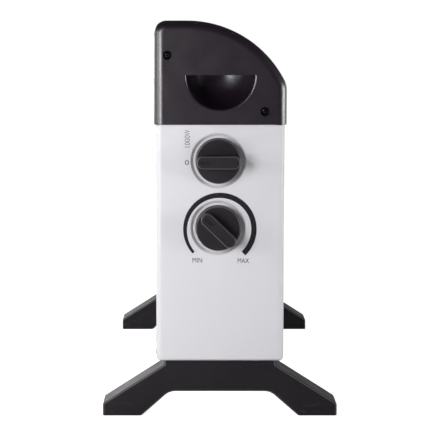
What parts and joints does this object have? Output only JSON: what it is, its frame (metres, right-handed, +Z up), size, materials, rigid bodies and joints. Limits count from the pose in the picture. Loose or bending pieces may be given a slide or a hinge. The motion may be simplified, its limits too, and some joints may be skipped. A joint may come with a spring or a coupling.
{
  "type": "convector heater",
  "caption": "Free-standing electric convector heater: white steel casing, black moulded end caps with hand scoops, louvred top outlet, splayed feet, power and thermostat knobs.",
  "frame": {"origin": "on the floor, under the middle of the heater's bounding box, knobs included", "axes": "+X along the heater away from the control end, +Y towards the rear, +Z up"},
  "size_m": [0.4174, 0.21, 0.3524],
  "materials": {
    "white_steel": "white stove enamel, fine texture",
    "black_moulding": "moulded, fine spark texture",
    "black_steel": "satin black heat-proof paint",
    "knob_moulding": "moulded, satin",
    "zinc_steel": "zinc plated, dull",
    "black_screw": "blackened",
    "bare_aluminium": "extruded, dull",
    "sheath_steel": "heat-stained steel sheath",
    "ceramic": "unglazed white ceramic",
    "brass_contact": "plain",
    "switch_moulding": "moulded",
    "pale_moulding": "moulded",
    "grommet_rubber": "dull",
    "brown_insulation": "silicone sleeve",
    "blue_insulation": "silicone sleeve",
    "green_insulation": "silicone sleeve"
  },
  "bodies": {
    "casing": {"control_end_cap": "black_moulding", "plain_end_cap": "black_moulding", "cap_screws": "black_screw", "control_end_panel": "white_steel", "plain_end_panel": "white_steel", "front_panel": "white_steel", "rear_panel": "white_steel", "panel_screws": "zinc_steel", "base_plate": "zinc_steel", "outlet_grille": "black_steel", "control_foot": "black_moulding", "plain_foot": "black_moulding", "foot_screws": "zinc_steel", "control_partition": "zinc_steel", "plain_partition": "zinc_steel", "heat_shield": "bare_aluminium", "heating_element": "bare_aluminium", "element_rod": "sheath_steel", "element_bushes": "ceramic", "element_terminals": "zinc_steel", "switch_body": "switch_moulding", "switch_tabs": "brass_contact", "thermostat_frame": "zinc_steel", "thermostat_rings": "ceramic", "thermostat_springs": "brass_contact", "thermostat_bimetal": "sheath_steel", "control_screws": "zinc_steel", "thermal_cutout": "switch_moulding", "cutout_tabs": "brass_contact", "cutout_screws": "zinc_steel", "terminal_block": "pale_moulding", "live_wires": "brown_insulation", "neutral_wire": "blue_insulation", "earth_wire": "green_insulation", "earth_tag": "brass_contact", "earth_screw": "zinc_steel", "wire_grommets": "grommet_rubber", "cord_gland": "pale_moulding"},
    "power_control": {"power_knob": "knob_moulding", "switch_shaft": "zinc_steel"},
    "thermostat_control": {"thermostat_knob": "knob_moulding", "thermostat_shaft": "zinc_steel"}
  },
  "joints": [
    {"name": "power_switch", "type": "hinge", "parent": "casing", "child": "power_control", "pos_m": [-0.18625, 0.0018, 0.2296], "axis": [1, 0, 0], "range_deg": [0, 40]},
    {"name": "thermostat_dial", "type": "hinge", "parent": "casing", "child": "thermostat_control", "pos_m": [-0.18625, 0.0018, 0.1701], "axis": [1, 0, 0], "range_deg": [-85, 181]}
  ]
}
